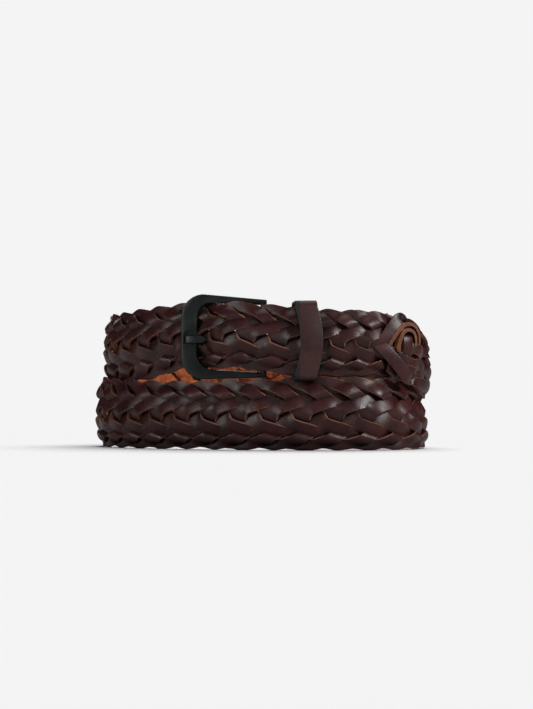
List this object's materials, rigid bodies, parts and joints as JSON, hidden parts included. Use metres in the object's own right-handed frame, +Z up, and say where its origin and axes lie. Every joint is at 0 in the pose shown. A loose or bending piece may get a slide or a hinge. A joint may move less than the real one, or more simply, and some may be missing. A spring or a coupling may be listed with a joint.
{
  "type": "braided leather belt, buckled and coiled",
  "caption": "Braided leather belt with a black prong buckle and leather keeper, fastened and coiled into stacked turns that stand on the strap's lower edge.",
  "frame": {"origin": "under the middle of the coil, on the plane of the strap's lower edge", "axes": "+X to the right along the coil's long way with the buckle in front, +Y away from the buckle side, +Z up"},
  "size_m": [0.1818, 0.1448, 0.0804],
  "materials": {
    "braided_leather": "dark brown waxed grain leather with orange-brown suede on the flesh side",
    "smooth_leather": "smooth dark brown leather with painted edges",
    "black_metal": "satin black plated metal"
  },
  "bodies": {
    "root": {"braided_strap": "braided_leather", "tip_knot": "braided_leather", "buckle_tab": "smooth_leather", "keeper_loop": "smooth_leather", "buckle_frame": "black_metal", "buckle_prong": "black_metal"}
  },
  "joints": []
}
